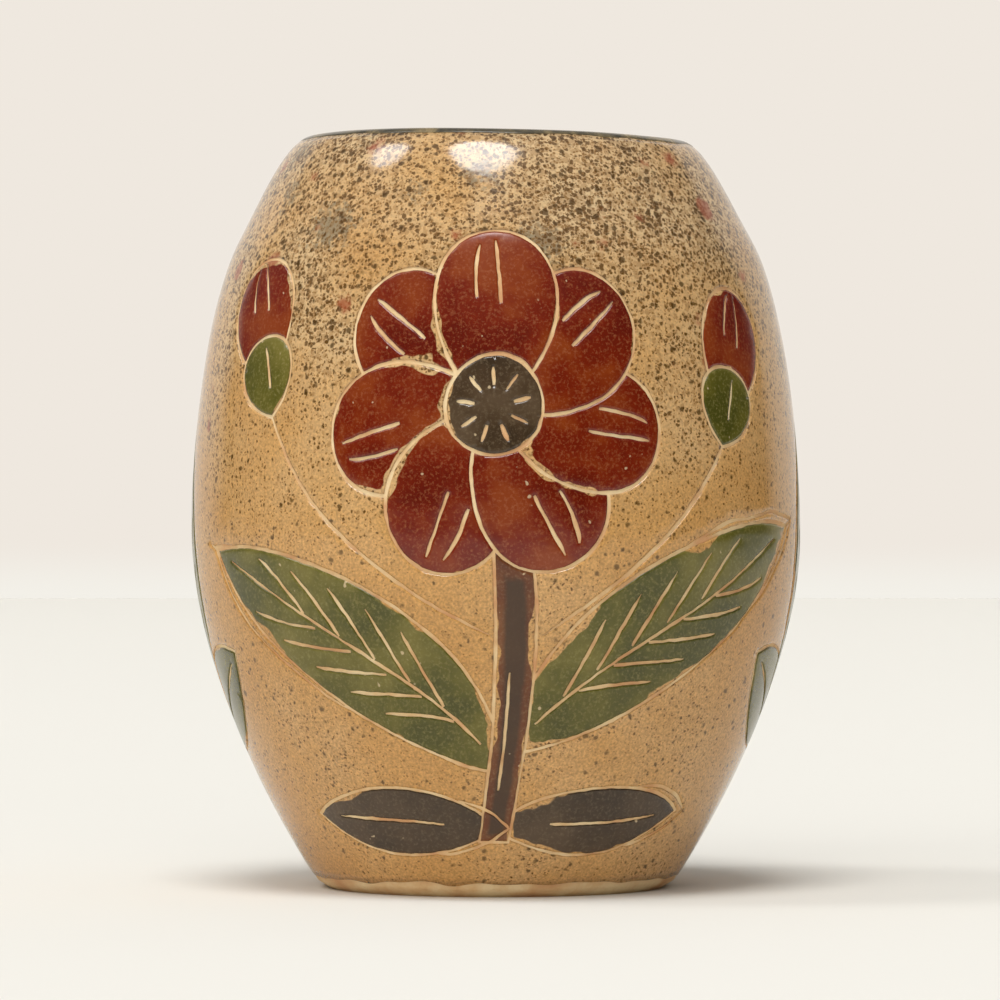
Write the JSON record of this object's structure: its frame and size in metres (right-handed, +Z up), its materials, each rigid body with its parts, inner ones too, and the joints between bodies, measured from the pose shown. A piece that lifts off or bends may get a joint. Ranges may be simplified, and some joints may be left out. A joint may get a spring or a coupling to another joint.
{
  "type": "vase",
  "caption": "Small barrel-shaped pottery vase with an open mouth and a flat foot, coated with burnished slip and decorated with incised fields of coloured slip.",
  "frame": {"origin": "middle of the flat foot, on the surface that the vase stands on", "axes": "+Z up along the axis of the pot, -Y towards the front of the drawing, +X to its right"},
  "size_m": [0.059, 0.059, 0.0725],
  "materials": {
    "clay": "bare fired clay, matt",
    "ground_slip": "burnished speckled slip, satin",
    "lip_slip": "burnished dark slip, satin",
    "red_slip": "burnished red slip, satin",
    "green_slip": "burnished olive slip, satin",
    "brown_slip": "burnished brown slip, satin",
    "dark_slip": "burnished charcoal slip, satin"
  },
  "bodies": {
    "root": {"clay_body": "clay", "ground_slip": "ground_slip", "lip_slip": "lip_slip", "front_seed_disc": "dark_slip", "front_petal_1": "red_slip", "front_petal_2": "red_slip", "front_petal_3": "red_slip", "front_petal_4": "red_slip", "front_petal_5": "red_slip", "front_petal_6": "red_slip", "front_petal_7": "red_slip", "front_stem": "brown_slip", "front_leaf_right": "green_slip", "front_blade_right": "dark_slip", "front_calyx_right": "green_slip", "front_bud_right": "red_slip", "front_leaf_left": "green_slip", "front_blade_left": "dark_slip", "front_calyx_left": "green_slip", "front_bud_left": "red_slip", "back_seed_disc": "dark_slip", "back_petal_1": "red_slip", "back_petal_2": "red_slip", "back_petal_3": "red_slip", "back_petal_4": "red_slip", "back_petal_5": "red_slip", "back_petal_6": "red_slip", "back_petal_7": "red_slip", "back_stem": "brown_slip", "back_leaf_right": "green_slip", "back_blade_right": "dark_slip", "back_calyx_right": "green_slip", "back_bud_right": "red_slip", "back_leaf_left": "green_slip", "back_blade_left": "dark_slip", "back_calyx_left": "green_slip", "back_bud_left": "red_slip", "right_sprig_middle": "green_slip", "right_sprig_right": "green_slip", "right_sprig_left": "green_slip", "left_sprig_middle": "green_slip", "left_sprig_right": "green_slip", "left_sprig_left": "green_slip"}
  },
  "joints": []
}
